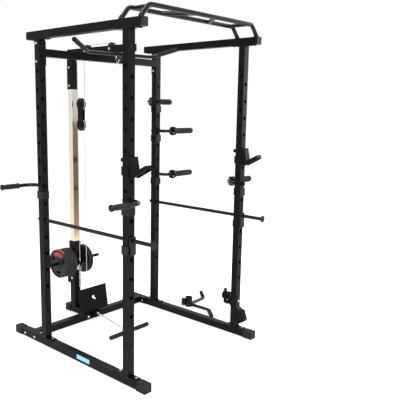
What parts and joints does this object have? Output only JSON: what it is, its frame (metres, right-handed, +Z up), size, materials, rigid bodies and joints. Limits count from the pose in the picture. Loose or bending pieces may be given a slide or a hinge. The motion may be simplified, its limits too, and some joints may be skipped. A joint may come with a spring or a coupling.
{
  "type": "power cage",
  "caption": "Power cage with perforated uprights, a multi-grip pull-up bar, a plate-loaded lat and row tower, J-hooks, safety bars, plug-in handles and a landmine.",
  "frame": {"origin": "on the floor, at the middle of the whole set's footprint", "axes": "+X to the cage's right, +Y from the open front to the lat tower, +Z up"},
  "size_m": [1.8955, 1.535, 2.248],
  "materials": {
    "powder_coat": "semi-gloss black powder coat",
    "chrome": "bright chrome plate",
    "zinc": "bright zinc plate",
    "cable": "steel cable in a clear coat",
    "rubber": "matte black rubber",
    "foam": "matte closed-cell foam",
    "nylon": "black nylon",
    "plate_vinyl": "charcoal vinyl shell",
    "knob_plastic": "black moulded plastic"
  },
  "bodies": {
    "frame": {"base_tube_left": "powder_coat", "base_tube_right": "powder_coat", "rubber_end_caps": "rubber", "rear_base_crossbeam": "powder_coat", "rear_top_crossbeam": "powder_coat", "upright_front_left": "powder_coat", "upright_front_right": "powder_coat", "upright_rear_left": "powder_coat", "upright_rear_right": "powder_coat", "top_beam_left": "powder_coat", "top_beam_right": "powder_coat", "pull_up_bars": "powder_coat", "pull_up_cross_grips": "powder_coat", "lat_boom": "powder_coat", "guide_rail": "chrome", "tower_base": "powder_coat", "foot_plate": "powder_coat", "frame_bolts": "zinc", "fixed_cables": "cable", "landmine_bracket": "powder_coat"},
    "carriage": {"weight_carriage": "powder_coat", "carriage_bushings": "nylon", "weight_plates": "plate_vinyl", "carriage_hook_chain": "zinc"},
    "lat_handle": {"lat_bar": "powder_coat", "lat_bar_grips": "foam", "lat_carabiner": "zinc", "lat_cable_drop": "cable"},
    "block": {"pulley_block": "powder_coat", "block_cable": "cable", "low_cable": "cable"},
    "boom_front_wheel": {"boom_front_pulley": "nylon"},
    "boom_rear_wheel": {"boom_rear_pulley": "nylon"},
    "low_wheel": {"low_pulley": "nylon"},
    "block_upper_wheel": {"block_upper_pulley": "nylon"},
    "block_lower_wheel": {"block_lower_pulley": "nylon"},
    "row_handle": {"row_bar": "powder_coat", "row_bar_grips": "foam", "row_chain": "zinc"},
    "j_hook_l": {"j_hook_left": "powder_coat"},
    "j_hook_r": {"j_hook_right": "powder_coat"},
    "safety_l": {"safety_bar_left": "powder_coat"},
    "safety_r": {"safety_bar_right": "powder_coat"},
    "dip_f": {"dip_handle_front": "powder_coat", "dip_grip_front": "rubber"},
    "dip_r": {"dip_handle_rear": "powder_coat", "dip_grip_rear": "rubber"},
    "landmine_swivel": {"landmine_yoke": "powder_coat"},
    "landmine_tube": {"landmine_sleeve": "powder_coat"},
    "landmine_screw": {"landmine_knob": "knob_plastic"},
    "v_grip": {"v_handle": "powder_coat", "v_handle_grips": "foam"},
    "roller_upper_rear": {"roller_handle_upper_rear": "powder_coat", "foam_roller_upper_rear": "foam"},
    "roller_upper_front": {"roller_handle_upper_front": "powder_coat", "foam_roller_upper_front": "foam"},
    "roller_lower_rear": {"roller_handle_lower_rear": "powder_coat", "foam_roller_lower_rear": "foam"},
    "roller_lower_front": {"roller_handle_lower_front": "powder_coat", "foam_roller_lower_front": "foam"}
  },
  "joints": [
    {"name": "carriage_lift", "type": "slide", "parent": "frame", "child": "carriage", "axis": [0, 0, 1], "range_m": [0, 0.56]},
    {"name": "lat_bar_pull", "type": "slide", "parent": "frame", "child": "lat_handle", "axis": [0, 0, -1], "range_m": [0, 0.56], "deforming": ["lat_cable_drop"]},
    {"name": "block_lift", "type": "slide", "parent": "frame", "child": "block", "axis": [0, 0, 1], "range_m": [0, 0.28], "deforming": ["block_cable", "low_cable"]},
    {"name": "boom_front_spin", "type": "hinge", "parent": "frame", "child": "boom_front_wheel", "pos_m": [-0.14357, 0.1925, 2.088], "axis": [1, 0, 0], "range_deg": [-900, 900]},
    {"name": "boom_rear_spin", "type": "hinge", "parent": "frame", "child": "boom_rear_wheel", "pos_m": [-0.14357, 0.4655, 2.088], "axis": [1, 0, 0], "range_deg": [-900, 900]},
    {"name": "low_pulley_spin", "type": "hinge", "parent": "frame", "child": "low_wheel", "pos_m": [-0.14357, 0.4655, 0.106], "axis": [1, 0, 0], "continuous": true},
    {"name": "block_upper_spin", "type": "hinge", "parent": "block", "child": "block_upper_wheel", "pos_m": [-0.14357, 0.5495, 1.698], "axis": [1, 0, 0], "range_deg": [-900, 900]},
    {"name": "block_lower_spin", "type": "hinge", "parent": "block", "child": "block_lower_wheel", "pos_m": [-0.14357, 0.5495, 1.54], "axis": [1, 0, 0], "range_deg": [-900, 900]},
    {"name": "row_pull", "type": "slide", "parent": "frame", "child": "row_handle", "axis": [0, -1, 0], "range_m": [0, 0.25]},
    {"name": "j_hook_left_twist", "type": "hinge", "parent": "frame", "child": "j_hook_l", "pos_m": [-0.69857, -0.5575, 1.376], "axis": [0, 1, 0], "range_deg": [0, 85]},
    {"name": "j_hook_right_twist", "type": "hinge", "parent": "frame", "child": "j_hook_r", "pos_m": [0.41143, -0.5575, 1.376], "axis": [0, 1, 0], "range_deg": [0, 85]},
    {"name": "safety_left_twist", "type": "hinge", "parent": "frame", "child": "safety_l", "pos_m": [-0.69857, -0.5575, 0.908], "axis": [0, 1, 0], "range_deg": [0, 85]},
    {"name": "safety_right_twist", "type": "hinge", "parent": "frame", "child": "safety_r", "pos_m": [0.41143, -0.5575, 0.908], "axis": [0, -1, 0], "range_deg": [0, 85]},
    {"name": "dip_front_twist", "type": "hinge", "parent": "frame", "child": "dip_f", "pos_m": [-0.69857, -0.5575, 1.142], "axis": [0, 1, 0], "range_deg": [0, 45]},
    {"name": "dip_rear_twist", "type": "hinge", "parent": "frame", "child": "dip_r", "pos_m": [-0.69857, 0.2825, 1.142], "axis": [0, 1, 0], "range_deg": [0, 80]},
    {"name": "roller_upper_rear_twist", "type": "hinge", "parent": "frame", "child": "roller_upper_rear", "pos_m": [0.41143, 0.2825, 1.727], "axis": [0, -1, 0], "range_deg": [0, 80]},
    {"name": "roller_upper_front_twist", "type": "hinge", "parent": "frame", "child": "roller_upper_front", "pos_m": [0.41143, 0.2825, 1.493], "axis": [0, -1, 0], "range_deg": [0, 80]},
    {"name": "roller_lower_rear_twist", "type": "hinge", "parent": "frame", "child": "roller_lower_rear", "pos_m": [0.41143, 0.2825, 1.142], "axis": [0, -1, 0], "range_deg": [0, 80]},
    {"name": "roller_lower_front_twist", "type": "hinge", "parent": "frame", "child": "roller_lower_front", "pos_m": [0.41143, -0.5575, 1.142], "axis": [0, -1, 0], "range_deg": [0, 80]},
    {"name": "landmine_yaw", "type": "hinge", "parent": "frame", "child": "landmine_swivel", "pos_m": [0.41143, -0.4845, 0.28], "axis": [0, 0, 1], "range_deg": [-30, 14]},
    {"name": "landmine_pitch", "type": "hinge", "parent": "landmine_swivel", "child": "landmine_tube", "pos_m": [0.41143, -0.4845, 0.28], "axis": [0.9903, 0.1392, 0], "range_deg": [0, 45]},
    {"name": "landmine_screw_turn", "type": "hinge", "parent": "landmine_tube", "child": "landmine_screw", "pos_m": [0.40893, -0.46668, 0.318], "axis": [0, 0, 1], "range_deg": [-180, 180]},
    {"name": "v_handle_lift", "type": "slide", "parent": "frame", "child": "v_grip", "axis": [0, 0, 1], "range_m": [0, 0.2]}
  ],
  "couplings": [
    {"joint": "lat_bar_pull", "follows": "carriage_lift", "ratio": 1},
    {"joint": "block_lift", "follows": "carriage_lift", "ratio": 0.5},
    {"joint": "boom_front_spin", "follows": "carriage_lift", "rad_per_m": 23.81},
    {"joint": "boom_rear_spin", "follows": "carriage_lift", "rad_per_m": 23.81},
    {"joint": "block_upper_spin", "follows": "carriage_lift", "rad_per_m": -11.905},
    {"joint": "block_lower_spin", "follows": "carriage_lift", "rad_per_m": 11.905}
  ]
}
